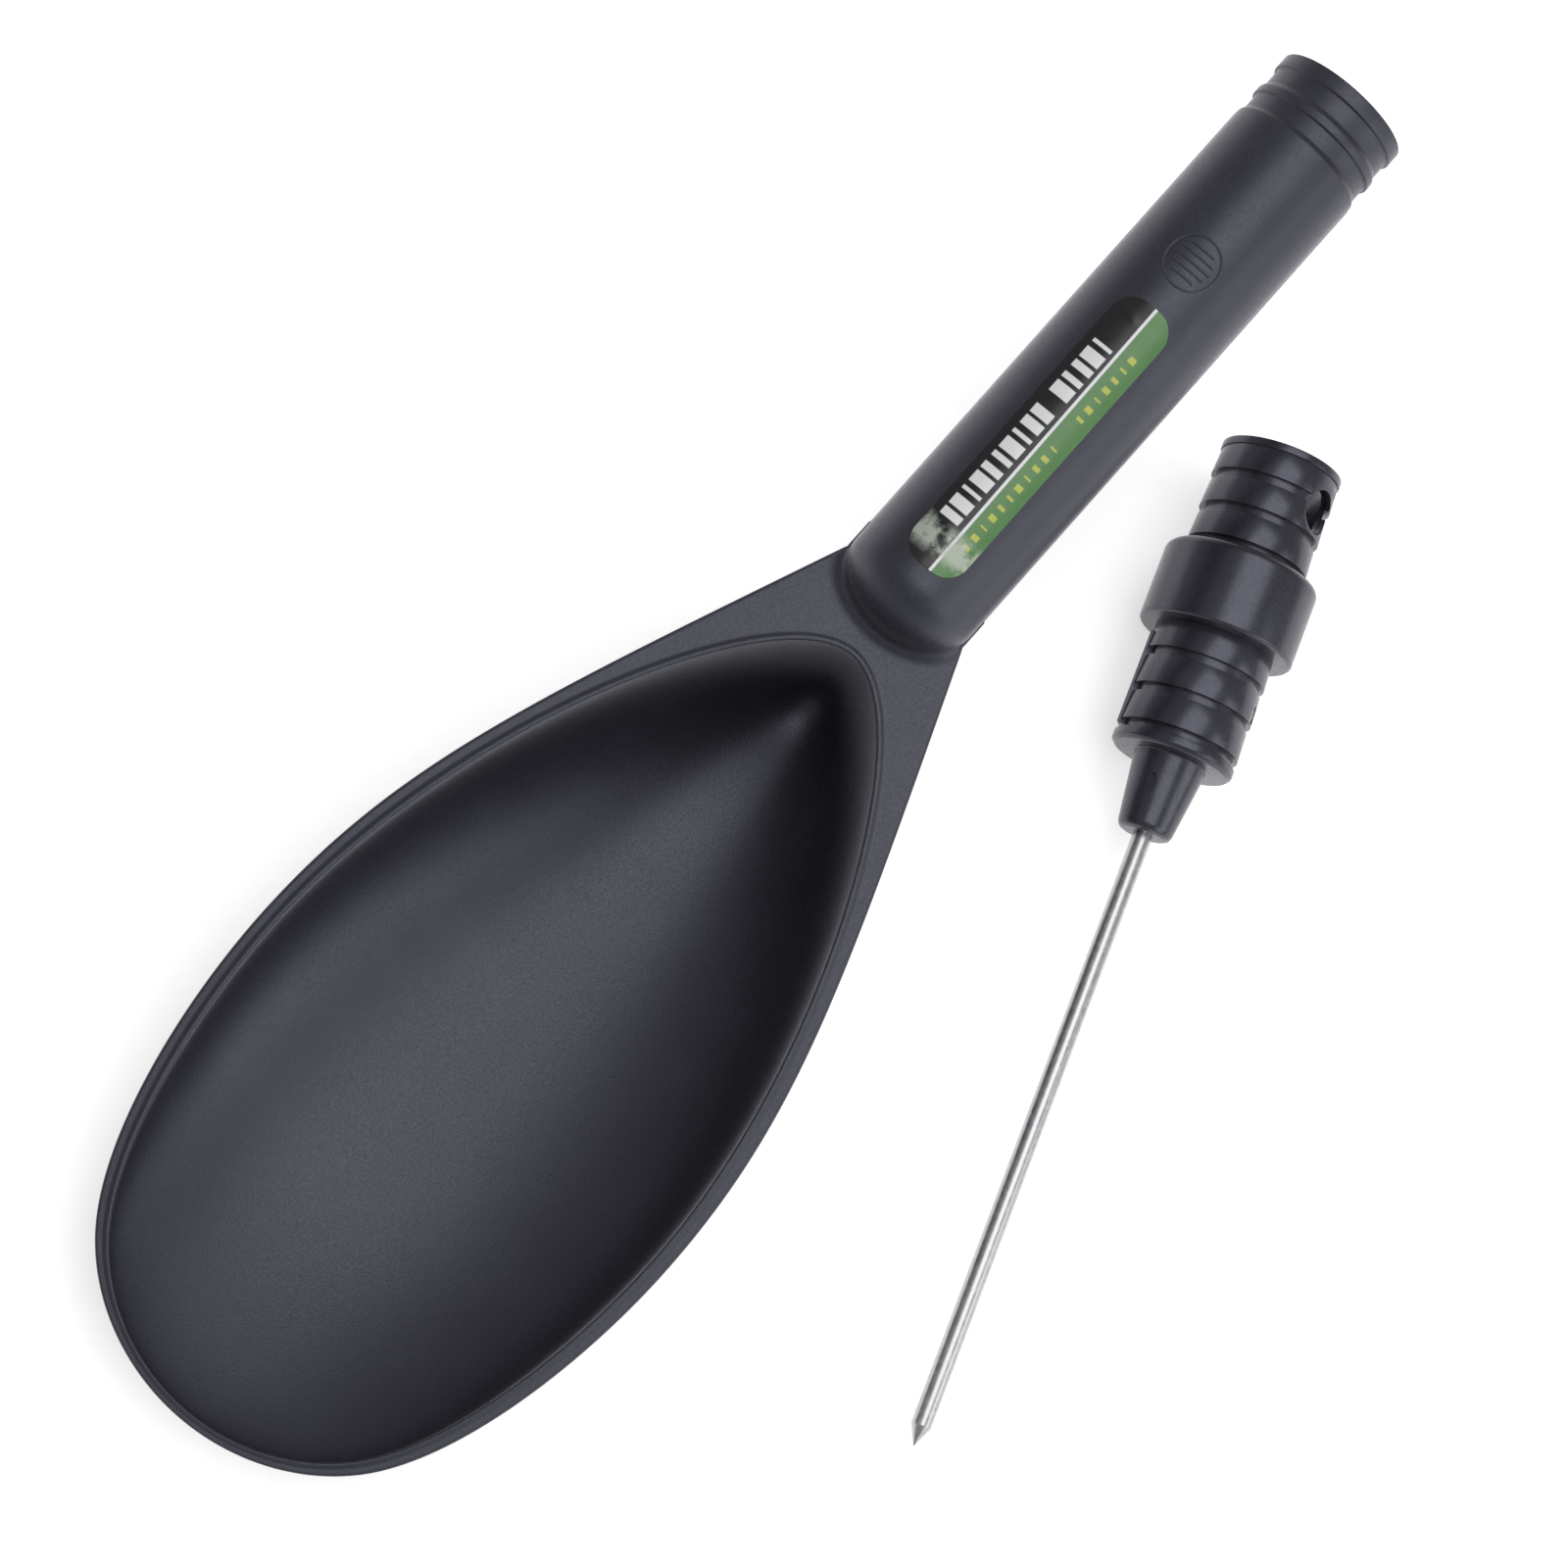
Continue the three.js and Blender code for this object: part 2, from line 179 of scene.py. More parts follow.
def closed_loop(side, count):
    """A side and its mirror image as one loop of evenly spaced points, starting at the tip."""
    walked = np.concatenate([[0], np.cumsum(np.hypot(*np.diff(side, axis=0).T))])
    at = np.linspace(0, walked[-1], count)
    half = np.column_stack([np.interp(at, walked, side[:, k]) for k in range(2)])
    return np.vstack([half, half[-2:0:-1] * [1, -1]])


def reach(start, direction, loop):
    """How far each point of start has to go along its direction to meet the loop."""
    a, b = loop, np.roll(loop, -1, axis=0)
    far = np.full(len(start), np.inf)
    for i, (p, d) in enumerate(zip(start, direction)):
        s = b - a
        cross = d[0] * s[:, 1] - d[1] * s[:, 0]
        cross = np.where(np.abs(cross) < 1e-12, 1e-12, cross)
        t = ((a[:, 0] - p[0]) * s[:, 1] - (a[:, 1] - p[1]) * s[:, 0]) / cross
        along = ((a[:, 0] - p[0]) * d[1] - (a[:, 1] - p[1]) * d[0]) / cross
        hits = t[(t > 0.05) & (along >= -1e-9) & (along <= 1 + 1e-9)]
        far[i] = hits.min()
    return far


def lofted(loops):
    """Vertices and faces of a skin through closed loops of equal length, shut by a point each end."""
    count = len(loops[0])
    verts = np.vstack(loops + [loops[0].mean(0)[None], loops[-1].mean(0)[None]])
    first, last = len(verts) - 2, len(verts) - 1
    faces = []
    for i in range(len(loops) - 1):
        for j in range(count):
            k = (j + 1) % count
            faces.append((i * count + j, i * count + k, (i + 1) * count + k, (i + 1) * count + j))
    end = (len(loops) - 1) * count
    for j in range(count):
        k = (j + 1) % count
        faces.append((first, j, k))
        faces.append((last, end + k, end + j))
    return verts, faces


loop_count = 150
opening = closed_loop(hull_side(0), loop_count)
outside = closed_loop(hull_side(wall), loop_count)
deck_stop = deck_end[0] + 0.8  # the deck runs on a little inside the handle's nose
rim = rim_side()
rim_loop = np.vstack([rim, [(deck_stop, deck_end[1]), (deck_stop, -deck_end[1])], rim[:0:-1] * [1, -1]])
bowl_centre = np.array([122.3, 0.0])
forward = np.roll(opening, -1, axis=0) - np.roll(opening, 1, axis=0)
outward = np.column_stack([-forward[:, 1], forward[:, 0]])
outward /= np.hypot(*outward.T)[:, None]
outward *= np.sign((outward * (opening - bowl_centre)).sum(1).sum())
outward[0] = (-1, 0)
width = reach(opening, outward, rim_loop)

loops = []
for step in np.linspace(math.radians(89), 0, 64):
    plan = bowl_centre + math.cos(step) * (opening - bowl_centre)
    height = bowl_height(plan[:, 0], plan[:, 1], 0)
    if step == 0:
        height[:] = 0
    loops.append(np.column_stack([plan, height]))
bead = [
    (0.0, 0.12), (0.1, 0.28), (0.35, 0.42), (0.75, 0.46),
    (1.15, 0.36), (1.5, 0.16), (1.8, 0.04), (2.1, 0),
]
rim_edge = [
    (0.85, 0), (0.45, -0.07), (0.15, -0.3), (0.02, -0.7),
    (0, -1.2), (0, -2.5), (0.12, -2.86), (0.4, -flange_thickness),
]
full_width = 4.3  # where the flange is narrower than this, its bead and edge shrink with it
scale = np.clip(width / full_width, 0.5, 1)
for off, height in bead:
    loops.append(np.column_stack([opening + outward * (off * scale)[:, None], np.full(len(opening), height)]))
for share in np.linspace(0, 1, 14)[1:-1]:
    off = bead[-1][0] * scale * (1 - share) + (width - rim_edge[0][0] * scale) * share
    loops.append(np.column_stack([opening + outward * off[:, None], np.zeros(len(opening))]))
for inset, height in rim_edge:
    off = width - inset * scale
    loops.append(np.column_stack([opening + outward * off[:, None], np.full(len(opening), height)]))
for step in np.linspace(math.radians(8), math.radians(89), 44):
    plan = bowl_centre + math.cos(step) * (outside - bowl_centre)
    height = np.minimum(bowl_height(plan[:, 0], plan[:, 1], wall), -flange_thickness)
    ground = -(rim_height / MM + plan[:, 0] * math.sin(rim_pitch)) / math.cos(rim_pitch)
    loops.append(np.column_stack([plan, np.maximum(height, ground)]))
bowl = piece("bowl", *lofted(loops), scoop_place, 40)


def turned(profile, steps):
    """Loops round +X for a profile of (distance along, radius) points."""
    turn = np.linspace(0, 2 * math.pi, steps, endpoint=False)
    return [
        np.column_stack([np.full(steps, along), radius * np.sin(turn), radius * np.cos(turn)])
        for along, radius in profile
    ]


def rounded(profile, radius, steps=3):
    """The same profile with each inner corner rounded off by about the given radius."""
    points = [profile[0]]
    for before, corner, after in zip(profile, profile[1:], profile[2:]):
        a, b, c = (np.array(p, float) for p in (before, corner, after))
        near = min(radius, 0.45 * np.linalg.norm(a - b), 0.45 * np.linalg.norm(c - b))
        start = b + (a - b) / np.linalg.norm(a - b) * near
        end = b + (c - b) / np.linalg.norm(c - b) * near
        for t in np.linspace(0, 1, steps + 1):
            points.append(tuple((1 - t) ** 2 * start + 2 * (1 - t) * t * b + t**2 * end))
    return points + [profile[-1]]


ring_depth = 0.7
end_ring, end_groove, second_ring, second_groove = 3.7, 4.5, 3.2, 4.1
low = handle_radius - ring_depth
end = handle_length
rings_from = end - end_ring - end_groove - second_ring - second_groove
nose = [
    (-nose_length * math.cos(a), handle_radius * math.sin(a))
    for a in np.linspace(math.radians(2), math.pi / 2, 24)
]
grip = rounded(
    [
        nose[-1],
        (rings_from - 1.2, handle_radius),
        (rings_from, low),
        (rings_from + second_groove, low),
        (rings_from + second_groove, handle_radius),
        (end - end_ring - end_groove - 1.2, handle_radius),
        (end - end_ring - end_groove, low),
        (end - end_ring, low),
        (end - end_ring, handle_radius),
        (end, handle_radius),
        (end, bore_radius),
        (bore_floor, bore_radius),
        (bore_floor, 0.4),
    ],
    0.3,
)
tube = piece("tube", *lofted(turned(nose[:-1] + grip, 128)), handle_place, 40)


def blended_top(u, v):
    """Height of the deck and the handle's nose run together with a fillet that fades at the corners."""
    w = np.full(u.shape, handle_radius + 12.0)
    fade = np.clip((deck_end[0] + 3.3 - u) / 14, 0, 1)
    fillet = 1e-3 + neck_fillet * fade**2 * (3 - 2 * fade)
    for _ in range(160):
        along = (u - deck_end[0]) * math.cos(handle_pitch) + w * math.sin(handle_pitch)
        up = w * math.cos(handle_pitch) - (u - deck_end[0]) * math.sin(handle_pitch)
        ahead = np.where(along < 0, along * handle_radius / nose_length, 0)
        to_nose = np.sqrt(ahead**2 + v**2 + up**2) - handle_radius
        near = np.maximum(fillet - np.abs(w - to_nose), 0) / fillet
        w = w - 0.8 * (np.minimum(w, to_nose) - near**2 * fillet / 4)
    return w


# the neck's skin: the fillet between the deck and the handle's nose
neck_rows, neck_columns = 110, 96
neck_u = np.linspace(opening_apex + 3.2, deck_end[0] + 7.3, neck_rows)
half = np.interp(neck_u, rim[:, 0], rim[:, 1]) - 0.9
half = np.where(neck_u > deck_end[0], deck_end[1] - 0.9, half)
across = np.sin(np.linspace(-math.pi / 2, math.pi / 2, neck_columns))
grid_u = np.repeat(neck_u[:, None], neck_columns, 1)
grid_v = half[:, None] * across[None]
top = blended_top(grid_u, grid_v) + 0.02
neck_top = np.dstack([grid_u, grid_v, top]).reshape(-1, 3)
neck_under = np.dstack([grid_u, grid_v, top - 1.1]).reshape(-1, 3)
neck_faces = []
shift = neck_rows * neck_columns
for i in range(neck_rows - 1):
    for j in range(neck_columns - 1):
        a = i * neck_columns + j
        quad = (a, a + 1, a + neck_columns + 1, a + neck_columns)
        neck_faces.append(quad)
        neck_faces.append(tuple(k + shift for k in reversed(quad)))
border = [j for j in range(neck_columns)]
border += [i * neck_columns + neck_columns - 1 for i in range(1, neck_rows)]
border += [(neck_rows - 1) * neck_columns + j for j in range(neck_columns - 2, -1, -1)]
border += [i * neck_columns for i in range(neck_rows - 2, 0, -1)]
for a, b in zip(border, border[1:] + border[:1]):
    neck_faces.append((a, a + shift, b + shift, b))
neck = piece("neck", np.vstack([neck_top, neck_under]), neck_faces, scoop_place, 50)

# two webs under the deck, beside the back wall and up to the handle's flanks
gusset_thickness, gusset_length, gusset_proud = 2.0, 26.0, 0.4
gusset_start = opening_apex + wall - 2
gusset_middle = handle_radius + gusset_proud - gusset_thickness / 2
gusset_outline = [
    (gusset_start, -1),
    (gusset_start, -handle_radius - 8),
    (deck_end[0], -handle_radius * 0.6),
    (gusset_start + gusset_length, -flange_thickness),
    (gusset_start + gusset_length, -1),
]
gussets = []
for side in (1, -1):
    for_side = [
        (u, side * (gusset_middle + k * gusset_thickness / 2), w) for k in (-1, 1) for u, w in gusset_outline
    ]
    count = len(gusset_outline)
    faces = [tuple(range(count)), tuple(range(2 * count - 1, count - 1, -1))]
    faces += [(i, (i + 1) % count, (i + 1) % count + count, i + count) for i in range(count)]
    web = piece("gusset", for_side, faces, scoop_place, 30)
    rounding = web.modifiers.new("rounding", "BEVEL")
    rounding.width, rounding.segments = 0.4 * MM, 3
    bpy.context.view_layer.objects.active = web
    bpy.ops.object.modifier_apply(modifier="rounding")
    gussets.append(web)

# the moulded mark: a thin raised ring with ripple bars across it, wrapped on the handle's top
def new_tree(name, inputs):
    """An empty Geometry Nodes tree with named inputs."""
    tree = bpy.data.node_groups.new(name, "GeometryNodeTree")
    for label, kind in inputs:
        tree.interface.new_socket(label, in_out="INPUT", socket_type="NodeSocket" + kind)
    tree.interface.new_socket("Geometry", in_out="OUTPUT", socket_type="NodeSocketGeometry")

    def node(kind, **settings):
        made = tree.nodes.new(kind)
        for key, value in settings.items():
            setattr(made, key, value)
        return made

    def calc(operation, a, b=None):
        """One sum on two sockets or numbers."""
        made = node("ShaderNodeMath", operation=operation)
        for socket, value in zip(made.inputs, (a, b)):
            if isinstance(value, bpy.types.NodeSocket):
                tree.links.new(value, socket)
            elif value is not None:
                socket.default_value = value
        return made.outputs[0]

    return tree, node, calc


def grown(name, tree, place, **settings):
    """A plain mesh object from a tree, with its inputs set by name."""
    made = bpy.data.objects.new(name, bpy.data.meshes.new(name))
    bpy.context.scene.collection.objects.link(made)
    nodes = made.modifiers.new("nodes", "NODES")
    nodes.node_group = tree
    for item in tree.interface.items_tree:
        if item.in_out == "INPUT":
            nodes[item.identifier] = settings[item.name.replace(" ", "_")]
    evaluated = made.evaluated_get(bpy.context.evaluated_depsgraph_get())
    mesh = bpy.data.meshes.new_from_object(evaluated)
    made.modifiers.remove(nodes)
    made.data = mesh
    mesh.transform(place)
    return made


tree, node, calc = new_tree(
    "wrapped_mark",
    [
        ("Ring Radius", "Float"), ("Line", "Float"), ("Bars", "Int"), ("Bar Pitch", "Float"),
        ("Margin", "Float"), ("Flatness", "Float"), ("Handle Radius", "Float"), ("Finish", "Material"),
    ],
)
link = tree.links.new
given = node("NodeGroupInput").outputs
circle = node("GeometryNodeCurvePrimitiveCircle")
circle.inputs["Resolution"].default_value = 72
link(given["Ring Radius"], circle.inputs["Radius"])
section = node("GeometryNodeCurvePrimitiveCircle")
section.inputs["Resolution"].default_value = 10
link(calc("DIVIDE", given["Line"], 2), section.inputs["Radius"])
ring = node("GeometryNodeCurveToMesh")
link(circle.outputs["Curve"], ring.inputs["Curve"])
link(section.outputs["Curve"], ring.inputs["Profile Curve"])
first = calc("MULTIPLY", calc("SUBTRACT", given["Bars"], 1), calc("DIVIDE", given["Bar Pitch"], -2))
start, step = node("ShaderNodeCombineXYZ"), node("ShaderNodeCombineXYZ")
link(first, start.inputs["X"])
link(given["Bar Pitch"], step.inputs["X"])
row = node("GeometryNodeMeshLine")
link(given["Bars"], row.inputs["Count"])
link(start.outputs[0], row.inputs["Start Location"])
link(step.outputs[0], row.inputs["Offset"])
where = node("ShaderNodeSeparateXYZ")
link(node("GeometryNodeInputPosition").outputs[0], where.inputs[0])
room = calc("SUBTRACT", given["Ring Radius"], given["Margin"])
off_middle = where.outputs["X"]
chord = calc("SQRT", calc("SUBTRACT", calc("MULTIPLY", room, room), calc("MULTIPLY", off_middle, off_middle)))
bar = node("GeometryNodeCurvePrimitiveLine")
bar.inputs["Start"].default_value = (0, -1, 0)
bar.inputs["End"].default_value = (0, 1, 0)
bar_points = node("GeometryNodeResampleCurve")
bar_points.inputs["Count"].default_value = 16
link(bar.outputs[0], bar_points.inputs["Curve"])
tube_bar = node("GeometryNodeCurveToMesh")
link(bar_points.outputs[0], tube_bar.inputs["Curve"])
link(section.outputs["Curve"], tube_bar.inputs["Profile Curve"])
tube_bar.inputs["Fill Caps"].default_value = True
stretch = node("ShaderNodeCombineXYZ")
stretch.inputs["X"].default_value = 1
stretch.inputs["Z"].default_value = 1
link(chord, stretch.inputs["Y"])
bars = node("GeometryNodeInstanceOnPoints")
link(row.outputs[0], bars.inputs["Points"])
link(tube_bar.outputs[0], bars.inputs["Instance"])
link(stretch.outputs[0], bars.inputs["Scale"])
both = node("GeometryNodeJoinGeometry")
link(bars.outputs[0], both.inputs[0])
link(ring.outputs[0], both.inputs[0])
realised = node("GeometryNodeRealizeInstances")
link(both.outputs[0], realised.inputs[0])
flat = node("ShaderNodeSeparateXYZ")
link(node("GeometryNodeInputPosition").outputs[0], flat.inputs[0])
out_to = calc("ADD", given["Handle Radius"], calc("MULTIPLY", flat.outputs["Z"], given["Flatness"]))
angle = calc("DIVIDE", flat.outputs["Y"], given["Handle Radius"])
wrapped = node("ShaderNodeCombineXYZ")
link(flat.outputs["X"], wrapped.inputs["X"])
link(calc("MULTIPLY", out_to, calc("SINE", angle)), wrapped.inputs["Y"])
link(calc("MULTIPLY", out_to, calc("COSINE", angle)), wrapped.inputs["Z"])
wrap = node("GeometryNodeSetPosition")
link(realised.outputs[0], wrap.inputs["Geometry"])
link(wrapped.outputs[0], wrap.inputs["Position"])
painted = node("GeometryNodeSetMaterial")
link(wrap.outputs[0], painted.inputs["Geometry"])
link(given["Finish"], painted.inputs["Material"])
link(painted.outputs[0], node("NodeGroupOutput").inputs[0])

charcoal = bpy.data.materials.new("charcoal_moulded_plastic")
mark_from_end, mark_radius = 54.5, 6.6
mark_turn = math.radians(4)  # a little to the left of the top
mark_place = handle_place @ Matrix.Translation((handle_length - mark_from_end, 0, 0))
mark = grown(
    "moulded_mark", tree, mark_place @ Matrix.Rotation(-mark_turn, 4, "X"),
    Ring_Radius=mark_radius, Line=0.62, Bars=5, Bar_Pitch=1.9, Margin=1.7, Flatness=0.9,
    Handle_Radius=handle_radius, Finish=charcoal,
)
mark.data.shade_smooth()

# the mould's parting line, a hair of flash along each flank of the handle
flash = []
flash_proud, flash_half = 0.09, 0.16
box_sides = [(0, 1, 2, 3), (4, 7, 6, 5), (0, 4, 5, 1), (1, 5, 6, 2), (2, 6, 7, 3), (3, 7, 4, 0)]
for side in (1, -1):
    line = [
        (x, side * (handle_radius + k * flash_proud), w * flash_half * (1 - 0.6 * (k > 0)))
        for x in np.linspace(4, rings_from - 2, 2)
        for k, w in ((-1, -1), (1, -1), (1, 1), (-1, 1))
    ]
    flash.append(piece("flash", line, box_sides, handle_place, 30))

scoop = joined("scoop_moulding", [bowl, tube, neck, mark, *gussets, *flash])


def finish_of(material):
    """A material's Principled shader, and helpers that add and link nodes in it."""
    material.use_nodes = True
    tree = material.node_tree

    def add(kind, **settings):
        node = tree.nodes.new(kind)
        for key, value in settings.items():
            if key in node.bl_rna.properties:
                setattr(node, key, value)
            else:
                node.inputs[key.replace("_", " ")].default_value = value
        return node

    return tree.nodes["Principled BSDF"], add, tree.links.new


def noise_in_object(add, link, scale, detail=2.0, roughness=0.5):
    """Noise in the piece's own metres, so its grain stays the same size all over."""
    place = add("ShaderNodeTexCoord")
    noise = add("ShaderNodeTexNoise", Scale=scale, Detail=detail, Roughness=roughness)
    link(place.outputs["Object"], noise.inputs["Vector"])
    return noise


def spread(add, link, value, low_in, high_in, low_out, high_out):
    """A value moved from one range to another."""
    node = add("ShaderNodeMapRange")
    node.inputs["From Min"].default_value = low_in
    node.inputs["From Max"].default_value = high_in
    node.inputs["To Min"].default_value = low_out
    node.inputs["To Max"].default_value = high_out
    link(value, node.inputs["Value"])
    return node.outputs["Result"]


def tinted(add, link, value, stops):
    ramp = add("ShaderNodeValToRGB")
    ramp.color_ramp.elements[0].position, ramp.color_ramp.elements[0].color = stops[0]
    ramp.color_ramp.elements[1].position, ramp.color_ramp.elements[1].color = stops[-1]
    for place, colour in stops[1:-1]:
        ramp.color_ramp.elements.new(place).color = colour
    link(value, ramp.inputs["Fac"])
    return ramp.outputs["Color"]


shader, add, link = finish_of(charcoal)
mottle = noise_in_object(add, link, 60, 3)
grain = noise_in_object(add, link, 1500, 3, 0.65)
fleck = noise_in_object(add, link, 2600, 1, 0.5)
shade = add("ShaderNodeMath", operation="MULTIPLY_ADD")
link(grain.outputs["Fac"], shade.inputs[0])
shade.inputs[1].default_value = 0.7
link(mottle.outputs["Fac"], shade.inputs[2])
link(
    tinted(
        add, link, spread(add, link, shade.outputs[0], 0.4, 1.3, 0, 1),
        [(0.0, (0.009, 0.009, 0.013, 1)), (0.6, (0.014, 0.014, 0.020, 1)), (1.0, (0.026, 0.026, 0.036, 1))],
    ),
    shader.inputs["Base Color"],
)
link(spread(add, link, grain.outputs["Fac"], 0.3, 0.7, 0.38, 0.52), shader.inputs["Roughness"])
fine = add("ShaderNodeBump", Strength=0.35, Distance=0.00012)
link(grain.outputs["Fac"], fine.inputs["Height"])
flecks = add("ShaderNodeBump", Strength=0.25, Distance=0.0001)
link(spread(add, link, fleck.outputs["Fac"], 0.55, 0.75, 0, 1), flecks.inputs["Height"])
link(fine.outputs["Normal"], flecks.inputs["Normal"])
link(flecks.outputs["Normal"], shader.inputs["Normal"])
shader.inputs["Specular IOR Level"].default_value = 0.95
shader.inputs["Specular Tint"].default_value = (0.82, 0.84, 1.0, 1)
shader.inputs["Sheen Weight"].default_value = 0.7
shader.inputs["Sheen Roughness"].default_value = 0.25
shader.inputs["Sheen Tint"].default_value = (0.9, 0.92, 1.0, 1)
scoop.data.materials.clear()
scoop.data.materials.append(charcoal)
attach(scoop, "scoop")
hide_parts("scoop_bowl", "scoop_handle")

# ---------------------------------------------------------------------------------------------
# The label: a printed vinyl sticker pressed on the handle's top, a little to the left. Its black
# half carries a row of white bars, its green half a row of small yellow ticks, and a white line
# runs between them. One end has creased and the other has begun to fade.
label_length, label_width, label_from_end = 78.0, 15.4, 68.0
label_turn = math.radians(3.5)
label_corner = 6.0
label_under, label_top = 0.15, 0.30

label_half = label_width / 2
label_middle = handle_length - label_from_end - label_length / 2
steps = np.linspace(0, math.pi / 2, 12)
run_in = label_length / 2 - label_corner + label_corner * np.sin(steps)
label_x = np.concatenate([-run_in[::-1], np.linspace(-run_in[0], run_in[0], 120)[1:-1], run_in])
inward = np.maximum(np.abs(label_x) - (label_length / 2 - label_corner), 0)
label_reach = label_half - label_corner + np.sqrt(np.maximum(label_corner**2 - inward**2, 0))
across = np.linspace(-1, 1, 41)
label_u = np.repeat(label_x[:, None], len(across), 1)
label_v = label_reach[:, None] * across[None]


def crease(u, v, at, slant, width, height):
    """A low fold across the sticker."""
    away = (u - at - slant * v) / width
    return height * np.exp(-(away**2))


fold = crease(label_u, label_v, 33.5, 0.25, 0.7, 0.34) * (0.55 + 0.45 * np.tanh(label_v / 2))
fold = fold + crease(label_u, label_v, 8.0, -0.35, 0.5, 0.10) * np.clip(label_v / label_half, 0, 1)
fold = fold + crease(label_u, label_v, -6.0, 0.3, 0.4, 0.08) * np.clip(label_v / label_half, 0, 1)
fold = fold + crease(label_u, label_v, -1.5, -0.2, 0.5, 0.09) * np.clip(label_v / label_half, 0, 1)
fold = fold * (1 - across[None] ** 8)
sheets = []
for height in (label_top + fold, np.full(fold.shape, label_under)):
    out_to = handle_radius + height
    angle = label_v / handle_radius
    sheets.append(np.dstack([label_u, out_to * np.sin(angle), out_to * np.cos(angle)]).reshape(-1, 3))
rows, columns = label_u.shape
faces = []
for i in range(rows - 1):
    for j in range(columns - 1):
        a = i * columns + j
        quad = (a, a + 1, a + columns + 1, a + columns)
        faces.append(quad)
        faces.append(tuple(k + rows * columns for k in reversed(quad)))
border = [j for j in range(columns)] + [i * columns + columns - 1 for i in range(1, rows)]
border += [(rows - 1) * columns + j for j in range(columns - 2, -1, -1)]
border += [i * columns for i in range(rows - 2, 0, -1)]
for a, b in zip(border, border[1:] + border[:1]):
    faces.append((a, a + rows * columns, b + rows * columns, b))
label_place = (
    handle_place @ Matrix.Translation((label_middle, 0, 0)) @ Matrix.Rotation(-label_turn, 4, "X")
)
label = piece("printed_label", np.vstack(sheets), faces, label_place, 40)
flat_map = label.data.uv_layers.new(name="sheet")
back_to_flat = label_place.inverted()
for loop in label.data.loops:
    on_label = back_to_flat @ label.data.vertices[loop.vertex_index].co
    round_by = math.atan2(on_label.y, on_label.z) * handle_radius
    flat_map.data[loop.index].uv = (on_label.x / label_length + 0.5, round_by / label_width + 0.5)

vinyl = bpy.data.materials.new("printed_vinyl")
shader, add, link = finish_of(vinyl)
sheet_uv = add("ShaderNodeUVMap", uv_map="sheet")
split = add("ShaderNodeSeparateXYZ")
link(sheet_uv.outputs[0], split.inputs[0])
along, over = split.outputs["X"], split.outputs["Y"]


def calc(operation, a, b=0.0, c=0.0):
    node = add("ShaderNodeMath", operation=operation)
    for socket, value in zip(node.inputs, (a, b, c)):
        if isinstance(value, bpy.types.NodeSocket):
            link(value, socket)
        else:
            socket.default_value = value
    return node.outputs[0]


def between(value, low, high, soft=0.006):
    """1 between two places and 0 outside, with a soft edge."""
    rising = spread(add, link, value, low - soft, low + soft, 0, 1)
    falling = spread(add, link, value, high - soft, high + soft, 1, 0)
    return calc("MULTIPLY", rising, falling)


def bars_along(count, fill, start, stop, gap_after, gap_count):
    """A row of bars of varied width with one wider gap in it."""
    cell = calc("MULTIPLY", calc("SUBTRACT", along, start), count / (stop - start))
    varied = calc("SINE", calc("MULTIPLY", calc("FLOOR", cell), 2.4))
    half_bar = calc("MULTIPLY_ADD", varied, 0.28 * fill, 0.5 * fill)
    from_middle = calc("ABSOLUTE", calc("SUBTRACT", calc("FRACT", cell), 0.5))
    bar_on = spread(add, link, calc("SUBTRACT", half_bar, from_middle), -0.03, 0.03, 0, 1)
    word_gap = calc("SUBTRACT", 1, between(cell, gap_after, gap_after + gap_count, 0.02))
    return calc("MULTIPLY", calc("MULTIPLY", bar_on, word_gap), between(along, start, stop, 0.001))


def over_paint(below, mask, colour):
    mix = add("ShaderNodeMix", data_type="RGBA")
    link(mask, mix.inputs["Factor"])
    if isinstance(below, bpy.types.NodeSocket):
        link(below, mix.inputs["A"])
    else:
        mix.inputs["A"].default_value = below
    mix.inputs["B"].default_value = colour
    return mix.outputs["Result"]


black, white = (0.012, 0.012, 0.014, 1), (0.86, 0.87, 0.88, 1)
green, yellow = (0.10, 0.24, 0.08, 1), (0.50, 0.54, 0.08, 1)
wear = noise_in_object(add, link, 220, 4, 0.6)
swell = noise_in_object(add, link, 60, 2)
line_at = calc("ADD", 0.40, calc("MULTIPLY", along, 0.045))
below_line = spread(add, link, calc("SUBTRACT", line_at, over), -0.006, 0.006, 0, 1)
print_colour = over_paint(black, below_line, green)
near_line = calc("ABSOLUTE", calc("SUBTRACT", over, line_at))
print_colour = over_paint(print_colour, spread(add, link, near_line, 0.018, 0.028, 1, 0), white)
title = calc("MULTIPLY", bars_along(16, 0.62, 0.14, 0.84, 10, 1), between(over, 0.52, 0.86))
print_colour = over_paint(print_colour, title, white)
ticks = calc("MULTIPLY", bars_along(20, 0.34, 0.10, 0.86, 11, 2), between(over, 0.16, 0.28))
print_colour = over_paint(print_colour, ticks, yellow)
rubbed = spread(add, link, wear.outputs["Fac"], 0.42, 0.56, 0, 0.8)
faded = calc("MULTIPLY", between(along, 0.045, 0.13, 0.02), rubbed)
print_colour = over_paint(print_colour, faded, (0.55, 0.60, 0.52, 1))
link(print_colour, shader.inputs["Base Color"])
link(spread(add, link, wear.outputs["Fac"], 0.3, 0.7, 0.22, 0.38), shader.inputs["Roughness"])
crinkle = add("ShaderNodeBump", Strength=0.25, Distance=0.0004)
link(swell.outputs["Fac"], crinkle.inputs["Height"])
link(crinkle.outputs["Normal"], shader.inputs["Normal"])
label.data.materials.append(vinyl)
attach(label, "scoop")
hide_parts("handle_label")

